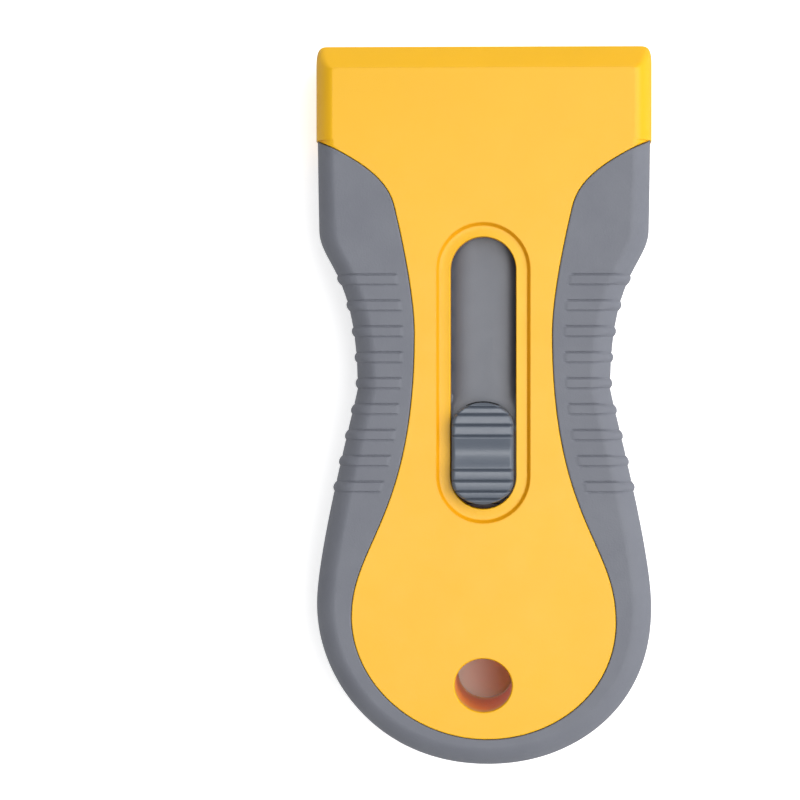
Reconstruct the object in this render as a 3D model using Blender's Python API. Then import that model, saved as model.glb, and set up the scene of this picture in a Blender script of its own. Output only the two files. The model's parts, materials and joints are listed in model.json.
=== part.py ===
"""A retractable razor-blade scraper: screwed hard shells with a soft grip, and a sliding blade carrier.

The tool lies on its back. +X is to its right, +Y runs to the blade mouth and +Z goes up through its
thickness to the thumb button. The origin is the centre of the box's lowest face. Design functions work in
millimetres, and the mesh builder turns them into metres.
"""

import math

import bmesh
import bpy
from mathutils import Vector
from mathutils.geometry import interpolate_bezier

MM = 0.001

# ---- driving dimensions, in millimetres ----
GAP = 0.3  # clearance between two moulded or nested pieces
HALF_LENGTH = 52.5
THICK = 14.0  # from the flat back to the front face
PARTING_Z = THICK / 2
HEAD_HALF = 24.3
CORNER_R = 1.8
BULB_Y = -29.1  # where the tail's ellipse starts
BULB_HALF = 24.5
WAIST_HALF = 18.5
WAIST_Y = 2.5
SHOULDER_Y = 25.8  # where the straight sides of the head start
GRIP_END_Y = 38.6
SOFT = 1.3  # thickness of the soft overmould
EDGE_W = 3.4  # how far the rounding of the long edges runs in
EDGE_H = 3.2  # and how far it runs down
HEAD_EDGE_W = 2.2
NOSE_CHAMFER_Y = 3.6
NOSE_CHAMFER_Z = 3.2
NOSE_CHAMFER_BACK = 1.6

PANEL_BULB_HALF = 19.35  # half width of the hard panel inside the grip band
PANEL_BULB_DEPTH = 17.75
PANEL_BULB_Y = -31.0
PANEL_WAIST_HALF = 10.0
PANEL_WAIST_Y = 10.6
RIDGES = 9
RIDGE_Y = 18.56
RIDGE_STEP = 3.78
RIDGE_W = 1.4
RIDGE_H = 0.3
RIDGE_INSET = 1.8

SLOT_HALF = 4.75
SLOT_Y = (-14.95, 24.53)
RING_HALF = 6.9
RING_DEPTH = 0.5
HOLE_Y = -40.55
HOLE_R = 4.25
HOLE_WALL = 2.0

CEILING_Z = 11.8  # underside of the hard panel above the carrier's track
SIDE_CEILING_Z = 10.6  # underside of the walls below the soft grip
TRACK_HALF = 8.0
TRACK_Y = (-18.0, 50.2)
MOUTH_HALF = 20.2
MOUTH_Z = (4.1, 9.0)
MOUTH_REAR_Y = 20.9
NECK_HALF = 13.6
NECK_Y = (13.2, 44.8)
NECK_CEILING_Z = 10.3

BOSSES = ((14.3, 8.0), (12.5, -28.5))  # screw places on the right side
BOSS_R = 2.9
SCREW_R = 1.3
SCREW_HEAD_R = 2.4
SCREW_HEAD_H = 1.6
SCREW_SEAT_Z = 3.2
SCREW_TIP_Z = 10.0
PILOT_GAP = 0.15

BLADE_W = 38.9
BLADE_L = 18.9
BLADE_T = 0.25
BLADE_EDGE_Y = 40.6  # the cutting edge when retracted
BLADE_Z = 7.1
SPINE_L = 6.8
SPINE_T = 1.2

BASE_Z = (4.4, 6.3)  # the carrier's base plate
TONGUE_HALF = 4.85
TONGUE_Z = 10.8
TONGUE_Y = (1.2, 25.6)
TONGUE_CROWN = 0.6  # how far the tongue's long edges are rounded down
BUTTON_HALF = 4.45
BUTTON_Y = (-14.2, 0.49)
BUTTON_TOP_Z = 15.5
BUTTON_END = 3.35  # height of the button's end arcs
BUTTON_MID_Y = (BUTTON_Y[0] + BUTTON_Y[1]) / 2
BUTTON_FOOT_Z = 11.0
BUTTON_RIBS = (-0.12, -1.23, -2.75, -4.33, -9.23, -10.81, -12.33, -13.44)
RIB_DEPTH = 0.3
SADDLE_MID_Y = -6.78
SADDLE_HALF = 2.2
SADDLE_DEPTH = 0.7
LATCH_Z = (9.0, 10.7)
LATCH_BORE_Z = 10.2
POST = (2.2, 3.4, 12.6)  # half width, half length and top of the latch's post

STRIP_Z = (11.0, 11.5)
LOCK_NOTCHES = 9
LOCK_STEP = 4.0
ROOF_Z = 9.2  # underside of the tongue's front end, above the clamp
CLAMP_Z = (8.0, 8.7)
NOTCH_HALF = 5.2  # half width of the clamp's notch round the tongue
CLAMP_SCREW = (10.0, 17.3)
CLAMP_SCREW_SIZE = (5.2, 1.9, 0.9, 1.0)  # tip height, head radius, head height, shaft radius
RIVET_Y = 6.0
LEAF_T = 0.25
RAIL_X = (3.2, 4.6)
RAIL_Y = (-15.5, 49.0)
RAIL_FOOT_Z = 1.0
RING6 = [math.pi / 3 * i for i in range(6)]

YELLOW = (1.0, 0.52, 0.07)
GREY = (0.22, 0.23, 0.27)
STEEL = (0.6, 0.6, 0.6)


# ---- mesh and material helpers ----
def material(name, color, rough, metal=0.0):
    mat = bpy.data.materials.get(name) or bpy.data.materials.new(name)
    mat.use_nodes = True
    shader = mat.node_tree.nodes["Principled BSDF"]
    shader.inputs["Base Color"].default_value = (*color, 1)
    shader.inputs["Roughness"].default_value = rough
    shader.inputs["Metallic"].default_value = metal
    return mat


def empty(name, place, parent=None):
    """A joint's empty, at a place in millimetres."""
    o = bpy.data.objects.new(name, None)
    bpy.context.collection.objects.link(o)
    base = parent["place"] if parent else (0, 0, 0)
    o["place"] = place
    o.parent = parent
    o.location = (Vector(place) - Vector(base)) * MM
    return o


def finish(name, bm, mat=None, parent=None, place=None):
    """Turns a bmesh in millimetres into an object whose origin is its parent's place."""
    bmesh.ops.recalc_face_normals(bm, faces=bm.faces)
    origin = Vector(place or (parent["place"] if parent else (0, 0, 0)))
    for v in bm.verts:
        v.co = (v.co - origin) * MM
    mesh = bpy.data.meshes.new(name)
    bm.to_mesh(mesh)
    bm.free()
    mesh.shade_smooth()
    mesh.set_sharp_from_angle(angle=math.radians(35))
    o = bpy.data.objects.new(name, mesh)
    bpy.context.collection.objects.link(o)
    o.parent = parent
    o.location = (origin - Vector(parent["place"] if parent else (0, 0, 0))) * MM
    if mat:
        mesh.materials.append(mat)
    return o


def skin(bm, loops, closed=False):
    """Faces between loops of equally many points; the first and last are capped unless closed."""
    rings = [[bm.verts.new(p) for p in loop] for loop in loops]
    pairs = list(zip(rings, rings[1:]))
    if closed:
        pairs.append((rings[-1], rings[0]))
    for a, b in pairs:
        for i in range(len(a)):
            j = (i + 1) % len(a)
            bm.faces.new((a[i], a[j], b[j], b[i]))
    if not closed:
        bm.faces.new(rings[0])
        bm.faces.new(rings[-1])


def prism(bm, outline, z0, z1):
    skin(bm, [[(x, y, z) for x, y in outline] for z in (z0, z1)])


def box(bm, x, y, z):
    prism(bm, [(x[0], y[0]), (x[1], y[0]), (x[1], y[1]), (x[0], y[1])], *z)


def circle(cx, cy, r, n=28):
    angles = [2 * math.pi * i / n for i in range(n)]
    return [(cx + r * math.cos(a), cy + r * math.sin(a)) for a in angles]


def obround(half, y, n=12, rise=None):
    """A slot's outline along Y with round ends; rise is the height of its end arcs."""
    rise = half if rise is None else rise
    pts = []
    for end, sign in ((y[1] - rise, 1), (y[0] + rise, -1)):
        for i in range(n + 1):
            a = math.pi * i / n
            pts.append((sign * half * math.cos(a), end + sign * rise * math.sin(a)))
    return pts


def boolean(target, cutter_bm, operation="DIFFERENCE"):
    """Applies a boolean whose other shape is a bmesh in millimetres, and removes that shape."""
    bpy.context.view_layer.update()
    other = finish("cutter", cutter_bm, place=target.matrix_world.translation / MM)
    mod = target.modifiers.new("cut", "BOOLEAN")
    mod.object = other
    mod.operation = operation
    mod.solver = "EXACT"
    bpy.context.view_layer.update()
    graph = bpy.context.evaluated_depsgraph_get()
    mesh = bpy.data.meshes.new_from_object(target.evaluated_get(graph))
    target.modifiers.clear()
    target.data = mesh
    bpy.data.objects.remove(other)
    mesh.shade_smooth()
    mesh.set_sharp_from_angle(angle=math.radians(35))
    return target


# ---- plan outlines ----
def bezier(points, n):
    return [tuple(p)[:2] for p in interpolate_bezier(*[Vector((x, y, 0)) for x, y in points], n + 1)]


def side_curve():
    """The right side of the casing, from the head's corner down to the bulb."""
    head = [(HEAD_HALF, y) for y in (HALF_LENGTH - CORNER_R, 44.0, GRIP_END_Y, 31.0)]
    shoulder, waist, bulb = (HEAD_HALF - 0.1, SHOULDER_Y), (WAIST_HALF, WAIST_Y), (BULB_HALF, BULB_Y)
    upper = bezier((shoulder, (HEAD_HALF - 0.1, 20.7), (WAIST_HALF, 19.8), waist), 14)
    lower = bezier((waist, (WAIST_HALF, WAIST_Y - 0.9), (BULB_HALF, BULB_Y + 8.2), bulb), 12)
    return head + upper + lower[1:]


def panel_half(y):
    """Half width of the hard panel at y, read from three smooth curves."""
    if y <= PANEL_BULB_Y:
        t = (y - PANEL_BULB_Y) / PANEL_BULB_DEPTH
        return PANEL_BULB_HALF * math.sqrt(max(0.0, 1 - t * t))
    curves = (
        (
            (PANEL_BULB_HALF, PANEL_BULB_Y),
            (PANEL_BULB_HALF, PANEL_BULB_Y + 11.2),
            (PANEL_WAIST_HALF, PANEL_WAIST_Y - 27.2),
            (PANEL_WAIST_HALF, PANEL_WAIST_Y),
        ),
        ((PANEL_WAIST_HALF, PANEL_WAIST_Y), (PANEL_WAIST_HALF, 15.5), (11.6, 23.5), (12.9, 28.9)),
        ((12.9, 28.9), (13.8, 32.6), (17.0, 35.2), (24.2, GRIP_END_Y)),
    )
    for curve in curves:
        pts = bezier(curve, 24)
        for (x0, y0), (x1, y1) in zip(pts, pts[1:]):
            if y0 <= y <= y1:
                return x0 + (x1 - x0) * (y - y0) / (y1 - y0)
    return HEAD_HALF


def side_half(y):
    """Half width of the casing at y, above the bulb."""
    pts = side_curve()
    for (x0, y0), (x1, y1) in zip(pts, pts[1:]):
        if y1 <= y <= y0:
            return x1 + (x0 - x1) * (y - y1) / (y0 - y1) if y0 > y1 else x0
    return HEAD_HALF


def tail_point(angle, inset=0.0):
    """A point on the tail's ellipse at an angle below +X, moved in by inset."""
    x = (BULB_HALF - inset) * math.cos(angle)
    y = BULB_Y - (HALF_LENGTH + BULB_Y - inset) * math.sin(angle)
    return x, y


def edge_width(y):
    """How wide the long edge's rounding is at y: narrower beside the head."""
    t = min(1.0, max(0.0, (y - 20.0) / 14.0))
    return EDGE_W + (HEAD_EDGE_W - EDGE_W) * t * t * (3 - 2 * t)


def outline(inset=0.0, share=0.0, nose=0.0, tail_n=16):
    """The casing's plan, counter-clockwise, moved in by inset plus a share of the edge's width.

    nose moves the mouth's edge back, and the head's straight sides shrink to follow it.
    """
    right = []
    top = HALF_LENGTH - CORNER_R
    for i in range(5):
        a = math.pi / 2 * (1 - i / 4)
        cx = HEAD_HALF - CORNER_R - inset - share * HEAD_EDGE_W
        right.append((cx + CORNER_R * math.cos(a), top - nose + CORNER_R * math.sin(a)))
    for x, y in side_curve()[1:]:
        moved = y
        if y > GRIP_END_Y:
            moved = GRIP_END_Y + (y - GRIP_END_Y) * (top - nose - GRIP_END_Y) / (top - GRIP_END_Y)
        right.append((x - inset - share * edge_width(y), moved))
    for i in range(1, tail_n + 1):
        right.append(tail_point(math.pi / 2 * i / tail_n, inset + share * EDGE_W))
    right[-1] = (0.0, right[-1][1])
    left = [(-x, y) for x, y in reversed(right[:-1])]
    return list(reversed(right + left))


def panel_outline(grow=0.0, top=GRIP_END_Y, n=30):
    """The hard panel inside the grip band, up to y = top, moved out by grow."""
    right = []
    for i in range(n + 1):
        y = top - (top - PANEL_BULB_Y) * i / n
        half = min(panel_half(y), side_half(y) - 2.0) if y > BULB_Y else panel_half(y)
        right.append((half + grow, y))
    for i in range(1, 13):
        a = math.pi / 2 * i / 12
        right.append(
            ((PANEL_BULB_HALF + grow) * math.cos(a), PANEL_BULB_Y - (PANEL_BULB_DEPTH + grow) * math.sin(a))
        )
    right[-1] = (0.0, right[-1][1])
    left = [(-x, y) for x, y in reversed(right[:-1])]
    return list(reversed(right + left))


def edge_profile(steps=3):
    """(share of the edge's width, height above its start) up the rounded edge."""
    out = []
    for i in range(steps + 1):
        a = math.pi / 2 * i / steps
        out.append((1 - math.cos(a), EDGE_H * math.sin(a)))
    return out


def flip(points, back):
    """Mirrors points from the front half to the back half."""
    return [(x, y, THICK - z) if back else (x, y, z) for x, y, z in points]


# ---- cutting and joining ----
def modify(o, build, operation="DIFFERENCE", back=False):
    """Cuts or joins the shape that build draws; on the back half it is drawn mirrored."""
    bm = bmesh.new()
    build(bm)
    if back:
        for v in bm.verts:
            v.co.z = THICK - v.co.z
    return boolean(o, bm, operation)


def as_bmesh(o):
    """An object's mesh in millimetres; the object is removed."""
    bm = bmesh.new()
    bm.from_mesh(o.data)
    place = o.matrix_world.translation
    for v in bm.verts:
        v.co = (v.co + place) / MM
    bpy.data.objects.remove(o)
    return bm


# ---- the casing ----
def casing_half(bm, back, inset, floor):
    """Half of the casing's outer form, moved in and down by inset, from z = floor to the face."""
    chamfer = NOSE_CHAMFER_BACK if back else NOSE_CHAMFER_Z
    side_z = THICK - EDGE_H - inset
    levels = [(0.0, floor)] + [(share, side_z + rise) for share, rise in edge_profile()]
    loops = []
    for share, z in levels:
        nose = max(0.0, (z - (THICK - chamfer)) / chamfer * NOSE_CHAMFER_Y)
        loops.append([(x, y, z) for x, y in outline(inset, share, nose)])
    skin(bm, loops)


def grip_room(back):
    """The space that the soft grip takes up in a shell, as a bmesh."""
    far = HALF_LENGTH + 10
    band = bmesh.new()
    box(band, (-far, far), (-far, GRIP_END_Y), (-1.0, THICK + 1))
    room = finish("room", band)
    modify(room, lambda bm: prism(bm, panel_outline(top=GRIP_END_Y + 3.0), -2.0, THICK + 2))
    modify(room, lambda bm: casing_half(bm, back, SOFT + GAP, PARTING_Z - 3))
    return as_bmesh(room)


def lightening(back):
    """The hollow beside the track and in the bulb, with bosses and a tube round the hole left in."""
    start = PARTING_Z - 1.0
    bm = bmesh.new()
    prism(bm, [(x, y) for x, y in outline(inset=3.9) if y < 11.6], start, SIDE_CEILING_Z)
    room = finish("room", bm)
    low, high = start - 1.0, THICK

    def keep(bm):
        for side in (1, -1):
            for x, y in BOSSES:
                prism(bm, circle(side * x, y, BOSS_R, 24), low, high)

    def keep_walls(bm):
        rear = TRACK_Y[0] - 1.7
        box(bm, (-TRACK_HALF - 1.6, TRACK_HALF + 1.6), (rear, 12.5), (low, high))

    modify(room, keep)
    modify(room, keep_walls)
    modify(room, lambda bm: prism(bm, circle(0, HOLE_Y, HOLE_R + HOLE_WALL, 32), low, high))
    return as_bmesh(room)


def shell(name, back, mat):
    """A hard shell: stepped in below the soft grip, full size at the head and in the panel."""
    bm = bmesh.new()
    casing_half(bm, back, 0.0, PARTING_Z + GAP / 2)
    o = finish(name, bm, mat)
    boolean(o, grip_room(back))
    boolean(o, lightening(back))
    start = PARTING_Z - 1.5
    deep = THICK - MOUTH_Z[0] if back else MOUTH_Z[1]
    neck = deep if back else NECK_CEILING_Z
    modify(o, lambda bm: box(bm, (-MOUTH_HALF, MOUTH_HALF), (MOUTH_REAR_Y, HALF_LENGTH + 3), (start, deep)))
    modify(o, lambda bm: box(bm, (-NECK_HALF, NECK_HALF), NECK_Y, (start - 0.2, neck + 0.001)))
    modify(o, lambda bm: box(bm, (-TRACK_HALF, TRACK_HALF), TRACK_Y, (start - 0.4, CEILING_Z)))
    modify(o, lambda bm: prism(bm, circle(0, HOLE_Y, HOLE_R, 32), start, THICK + 2))
    if back:
        mirror_z(o)
    return o


def mirror_z(o):
    """Turns a front half into a back half."""
    bm = bmesh.new()
    bm.from_mesh(o.data)
    for v in bm.verts:
        v.co.z = THICK * MM - v.co.z
    bmesh.ops.reverse_faces(bm, faces=bm.faces)
    bm.to_mesh(o.data)
    bm.free()


def front_shell(mat):
    o = shell("front_shell", False, mat)
    ring_grow = RING_HALF - SLOT_HALF
    ring_y = (SLOT_Y[0] - ring_grow, SLOT_Y[1] + ring_grow)
    modify(o, lambda bm: prism(bm, obround(RING_HALF, ring_y), THICK - RING_DEPTH, THICK + 1))
    modify(o, lambda bm: prism(bm, obround(SLOT_HALF, SLOT_Y), CEILING_Z - 1, THICK + 1))

    def pilots(bm):
        for side in (1, -1):
            for x, y in BOSSES:
                prism(bm, circle(side * x, y, SCREW_R + PILOT_GAP, 16), PARTING_Z - 1, SCREW_TIP_Z + 0.4)

    return modify(o, pilots)


def back_shell(mat):
    o = shell("back_shell", True, mat)

    def screw_holes(bm):
        for side in (1, -1):
            for x, y in BOSSES:
                prism(bm, circle(side * x, y, SCREW_R + PILOT_GAP, 16), -1, PARTING_Z + 1)

    def recesses(bm):
        for side in (1, -1):
            for x, y in BOSSES:
                prism(bm, circle(side * x, y, SCREW_HEAD_R + GAP, 20), -1, SCREW_SEAT_Z)

    def rails(bm):
        for side in (1, -1):
            box(bm, sorted((side * RAIL_X[0], side * RAIL_X[1])), RAIL_Y, (RAIL_FOOT_Z, MOUTH_Z[0] - 0.002))

    modify(o, screw_holes)
    modify(o, recesses)
    return modify(o, rails, "UNION")


def grip_stations():
    """(outer point, panel point, ridge height) along the right side, from the head to the tail's end."""
    ys = [38.2, 37.0, 35.6, 34.2, 33.0, 31.3, 28.6, SHOULDER_Y, 24.3, 22.6, 20.6]
    ridged = []
    for k in range(RIDGES):
        middle = RIDGE_Y - RIDGE_STEP * k
        for offset, high in ((0.5, 0), (0.34, 1), (-0.34, 1), (-0.5, 0)):
            ridged.append((middle + RIDGE_W * offset, high * RIDGE_H))
    rows = [(y, 0.0) for y in ys] + ridged + [(y, 0.0) for y in (-14.5, -18.0, -22.0, -26.0, BULB_Y + 0.01)]
    out = []
    for y, high in rows:
        half = side_half(y)
        inner = min(panel_half(y) + GAP, half - 1.8)
        out.append(((half, y), (inner, y), high))
    steps = 12
    for i in range(1, steps + 1):
        a = math.pi / 2 * i / steps
        x = (PANEL_BULB_HALF + GAP) * math.cos(a)
        y = PANEL_BULB_Y - (PANEL_BULB_DEPTH + GAP) * math.sin(a)
        out.append((tail_point(a), (x, y), 0.0))
    return out


def grip_section(outer, inner, high, back):
    """The soft band's section at one station; on the back the ridges stay off the flat face."""
    run = Vector(inner) - Vector(outer)
    width = run.length
    along = run / width
    edge_w = min(edge_width(outer[1]), width * 0.8)
    ridge_end = max(edge_w + 0.05, width - RIDGE_INSET)
    side_z = THICK - EDGE_H
    base = PARTING_Z + GAP / 2
    pts = [(-high, base), (-high, side_z)]
    for i in (1, 2):
        a = math.pi / 2 * i / 3
        share, rise = 1 - math.cos(a), EDGE_H * math.sin(a)
        lift = min(high, THICK - side_z - rise) if back else high
        pts.append((share * edge_w - high * math.cos(a), side_z + rise + lift * math.sin(a)))
    top = THICK if back else THICK + high
    pts += [(edge_w, top), (ridge_end - 0.02, top), (ridge_end, THICK), (width, THICK)]
    pts += [(width, THICK - SOFT), (edge_w * 0.9 + SOFT * 0.3, THICK - SOFT)]
    a = math.pi / 4
    pts.append((SOFT + (edge_w - SOFT * 0.3) * (1 - math.cos(a)), side_z - SOFT + EDGE_H * math.sin(a)))
    pts += [(SOFT, side_z - SOFT), (SOFT, base)]
    return [(outer[0] + along.x * d, outer[1] + along.y * d, z) for d, z in pts]


def grip(name, back, mat):
    """Half of the soft grip band: one closed sweep round the tail, from head to head."""
    right = [grip_section(*station, back) for station in grip_stations()]
    left = [[(-x, y, z) for x, y, z in loop] for loop in reversed(right[:-1])]
    right[-1] = [(0.0, y, z) for x, y, z in right[-1]]
    bm = bmesh.new()
    skin(bm, [flip(loop, back) for loop in right + left])
    o = finish(name, bm, mat)
    if back:
        x, y = BOSSES[0]
        for side in (1, -1):
            modify(o, lambda bm: prism(bm, circle(side * x, y, SCREW_HEAD_R + 0.7, 20), -1, SOFT + 1.5))
    return o


# ---- fasteners and the lock strip ----
def screw(name, x, y, mat, seat, tip, head_r, head_h, shaft_r, parent=None):
    """A pan-head screw along Z with a cross recess; its head is on the far side of its tip."""
    way = 1 if tip > seat else -1
    slots = (0.28 * head_r, 0.8 * head_r)
    bm = bmesh.new()
    profile = [(shaft_r * 0.35, tip), (shaft_r, tip - way * shaft_r), (shaft_r, seat), (head_r, seat)]
    profile += [(head_r, seat - way * head_h * 0.55), (head_r * 0.72, seat - way * head_h)]
    skin(bm, [[(px, py, z) for px, py in circle(x, y, r, 20)] for r, z in profile])
    o = finish(name, bm, mat, parent)
    top = seat - way * head_h
    for half_x, half_y in (slots, slots[::-1]):

        def groove(bm):
            depth = sorted((top + way * head_h * 0.5, top - way * 1.0))
            box(bm, (x - half_x, x + half_x), (y - half_y, y + half_y), depth)

        modify(o, groove)
    return o


def lock_strip(mat):
    """The notched steel strip on both sides of the slot, joined behind it."""
    inner = []
    for k in range(LOCK_NOTCHES):
        y = 22.5 - k * LOCK_STEP
        inner += [(5.2, y), (5.8, y - 0.4), (5.8, y - 1.2), (5.2, y - 1.6)]
    right = [(7.4, -17.4), (7.4, 24.6), (5.2, 24.6)] + inner + [(5.2, -15.4)]
    left = [(-x, y) for x, y in reversed(right)]
    bm = bmesh.new()
    prism(bm, right + left, *STRIP_Z)
    return finish("lock_strip", bm, mat)


# ---- the sliding carrier and what rides on it ----
def carrier(mat, parent):
    """The moulded blade carrier: base, blade stop, clamp pads, button well and the tongue in the slot."""
    half_base, half_neck, half_head = 7.6, 13.0, 19.5
    right = [(half_base, -15.2), (half_base, 13.5), (half_neck, 14.6), (half_neck, 21.3), (half_head, 21.3)]
    right += [(half_head, 27.4), (half_head - 1.0, 28.4)]
    bm = bmesh.new()
    prism(bm, right + [(-x, y) for x, y in reversed(right)], *BASE_Z)
    o = finish("blade_carrier", bm, mat, parent)
    low = BASE_Z[1] - 0.6

    def bar(bm):
        loops = []
        for y in TONGUE_Y:
            top = [(TONGUE_HALF - i * TONGUE_HALF / 4, y) for i in range(9)]
            arc = [(x, y, TONGUE_Z - TONGUE_CROWN * (x / TONGUE_HALF) ** 4) for x, _ in top]
            loops.append([(-TONGUE_HALF, y, low), (TONGUE_HALF, y, low)] + arc)
        skin(bm, loops)

    modify(o, bar, "UNION")
    modify(o, lambda bm: box(bm, (-6, 6), (20.6, 30), (BASE_Z[1] - 0.001, ROOF_Z)))
    blocks = [((-half_neck, half_neck), (20.0, 21.25), (low, BLADE_Z + 0.7))]
    for side in (1, -1):
        pad_x = sorted((side * 7.2, side * (half_neck - 0.01)))
        blocks.append((pad_x, (14.6, 20.5), (low - 0.1, CLAMP_Z[0] - GAP)))
        blocks.append((sorted((side * 6.6, side * (half_base - 0.01))), (-15.1, 1.9), (low - 0.2, 9.6)))
    blocks.append(((-half_base + 0.02, half_base - 0.02), (-15.15, -14.5), (low - 0.3, 8.9)))
    for x, y, z in blocks:
        modify(o, lambda bm: box(bm, x, y, z), "UNION")
    modify(o, lambda bm: prism(bm, circle(0, BUTTON_MID_Y, 1.4, 16), low, BASE_Z[1] + 1.0), "UNION")
    for side in (1, -1):
        modify(o, lambda bm: prism(bm, circle(side * CLAMP_SCREW[0], CLAMP_SCREW[1], 1.2, 16), 4.8, 9.0))
    return modify(o, lambda bm: prism(bm, circle(0, RIVET_Y, 0.9, 12), 4.0, 5.9))


def blade_clamp(mat, parent):
    """The steel plate that presses on the blade's spine, notched round the tongue."""
    right = [(NOTCH_HALF, 14.8), (12.6, 14.8), (12.6, 20.6), (16.5, 22.4), (16.5, 28.2)]
    outline_pts = right + [(-x, y) for x, y in reversed(right)] + [(-NOTCH_HALF, 21.0), (NOTCH_HALF, 21.0)]
    bm = bmesh.new()
    prism(bm, outline_pts, *CLAMP_Z)
    o = finish("blade_clamp", bm, mat, parent)
    for side in (1, -1):
        modify(o, lambda bm: prism(bm, circle(side * CLAMP_SCREW[0], CLAMP_SCREW[1], 1.2, 16), 7, 10))
    return o


def drag_spring(mat, parent):
    """A bowed leaf below the carrier that takes up its play against the back shell."""
    n, start, end = 16, 8.6, -10.4
    bow = 1.15
    top, bottom = [], []
    for i in range(n + 1):
        t = i / n
        y = start + (end - start) * t
        dip = bow * math.sin(math.pi * max(0.0, (t - 0.28) / 0.72)) ** 2
        top.append((y, BASE_Z[0] - GAP - dip))
        bottom.append((y, BASE_Z[0] - GAP - dip - LEAF_T))
    ring = top + bottom[::-1]
    bm = bmesh.new()
    skin(bm, [[(x, y, z) for y, z in ring] for x in (-1.7, 1.7)])
    o = finish("drag_spring", bm, mat, parent)
    return modify(o, lambda bm: prism(bm, circle(0, RIVET_Y, 0.9, 12), 2, 6))


def drag_rivet(mat, parent):
    bm = bmesh.new()
    top = BASE_Z[0] - GAP - LEAF_T - 0.15
    profile = [(0.3, 5.5), (0.65, 5.2), (0.65, top), (1.3, top), (1.3, top - 0.3), (0.8, top - 0.6)]
    skin(bm, [[(x, y, z) for x, y in circle(0, RIVET_Y, r, 14)] for r, z in profile])
    return finish("drag_rivet", bm, mat, parent)


def button_spring(mat, parent):
    """A small compression coil between the carrier and the latch."""
    turns, r, wire, per_turn = 4.0, 2.2, 0.22, 12
    low, high = BASE_Z[1] + 0.35, LATCH_BORE_Z - 0.35
    count = int(turns * per_turn)
    loops = []
    for i in range(count + 1):
        a = 2 * math.pi * i / per_turn
        z = low + (high - low) * i / count
        out = Vector((math.cos(a), math.sin(a), 0))
        centre = Vector((0, BUTTON_MID_Y, z)) + out * r
        loops.append([centre + (out * math.cos(b) + Vector((0, 0, 1)) * math.sin(b)) * wire for b in RING6])
    bm = bmesh.new()
    skin(bm, loops)
    return finish("button_spring", bm, mat, parent)


# ---- the button ----
def button_height(y):
    """The button's upper surface at y: two ribbed ends with a smooth saddle between."""
    t = (y - SADDLE_MID_Y) / SADDLE_HALF
    return BUTTON_TOP_Z - SADDLE_DEPTH * (1 - t * t) ** 2 if abs(t) < 1 else BUTTON_TOP_Z


def thumb_button(mat, parent):
    """The ribbed thumb button, as wide as its slot allows, with a socket for the latch's post."""
    stations = []
    for y in BUTTON_RIBS:
        stations += [(y + 0.3, 0.0), (y + 0.12, RIB_DEPTH), (y - 0.12, RIB_DEPTH), (y - 0.3, 0.0)]
    stations += [(SADDLE_MID_Y + SADDLE_HALF * t, 0.0) for t in (0.62, 0.3, 0.0, -0.3, -0.62)]
    stations += [(BUTTON_Y[1] - 0.03, 0.7), (BUTTON_Y[0] + 0.03, 0.7)]
    stations.sort(reverse=True)
    loops = []
    for y, down in stations:
        near = min(BUTTON_Y[1] - y, y - BUTTON_Y[0])
        rise = BUTTON_END
        t = max(0.0, 1 - near / rise)
        half = BUTTON_HALF * (1 - t * t) ** 0.5
        top = button_height(y) - down
        soft = min(0.5, half * 0.3)
        loops.append(
            [
                (half, y, BUTTON_FOOT_Z),
                (half, y, top - 0.9),
                (half - soft, y, top),
                (soft - half, y, top),
                (-half, y, top - 0.9),
                (-half, y, BUTTON_FOOT_Z),
            ]
        )
    bm = bmesh.new()
    skin(bm, loops)
    o = finish("thumb_button", bm, mat, parent)
    post = (-POST[0] - GAP, POST[0] + GAP)
    y = (BUTTON_MID_Y - POST[1] - GAP, BUTTON_MID_Y + POST[1] + GAP)
    return modify(o, lambda bm: box(bm, post, y, (BUTTON_FOOT_Z - 1, POST[2] + GAP)))


def button_latch(mat, parent):
    """The latch below the slot: side ears under the lock strip, a post in the button, a spring bore."""
    half = 6.2
    bm = bmesh.new()
    prism(bm, obround(half, (BUTTON_Y[0] + 0.4, BUTTON_Y[1] - 0.2), 8, 3.0), *LATCH_Z)
    o = finish("button_latch", bm, mat, parent)
    y = (BUTTON_MID_Y - POST[1], BUTTON_MID_Y + POST[1])
    modify(o, lambda bm: box(bm, (-POST[0], POST[0]), y, (LATCH_Z[1] - 0.3, POST[2])), "UNION")
    return modify(o, lambda bm: prism(bm, circle(0, BUTTON_MID_Y, 2.75, 20), LATCH_Z[0] - 1, LATCH_BORE_Z))


# ---- the blade ----
def blade_outline(bevel):
    """The blade's plan: sharp edge at +Y, a flared notch in each side."""
    half, edge = BLADE_W / 2, BLADE_EDGE_Y
    rear = edge - BLADE_L + 0.6
    middle, mouth, depth, r = edge - 9.5, 2.7, 4.1, 1.65
    right = [(half, edge - bevel), (half, edge - 1.5), (half, middle + mouth), (half - 0.9, middle + r)]
    for i in range(7):
        a = math.pi / 2 + math.pi * i / 6
        right.append((half - depth + r + r * math.cos(a), middle + r * math.sin(a)))
    right += [(half - 0.9, middle - r), (half, middle - mouth), (half, rear)]
    return right + [(-x, y) for x, y in reversed(right)]


def razor_blade(mat, parent):
    bm = bmesh.new()
    t = BLADE_T / 2
    flat, sharp = blade_outline(1.4), blade_outline(0.0)
    loops = [[(x, y, BLADE_Z + z) for x, y in pts] for z, pts in ((-t, flat), (0.0, sharp), (t, flat))]
    skin(bm, loops)
    o = finish("razor_blade", bm, mat, parent)
    window = (BLADE_EDGE_Y - 11.5, BLADE_EDGE_Y - 4.85)
    return modify(o, lambda bm: prism(bm, obround(1.55, window, 6), BLADE_Z - 1, BLADE_Z + 1))


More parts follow.
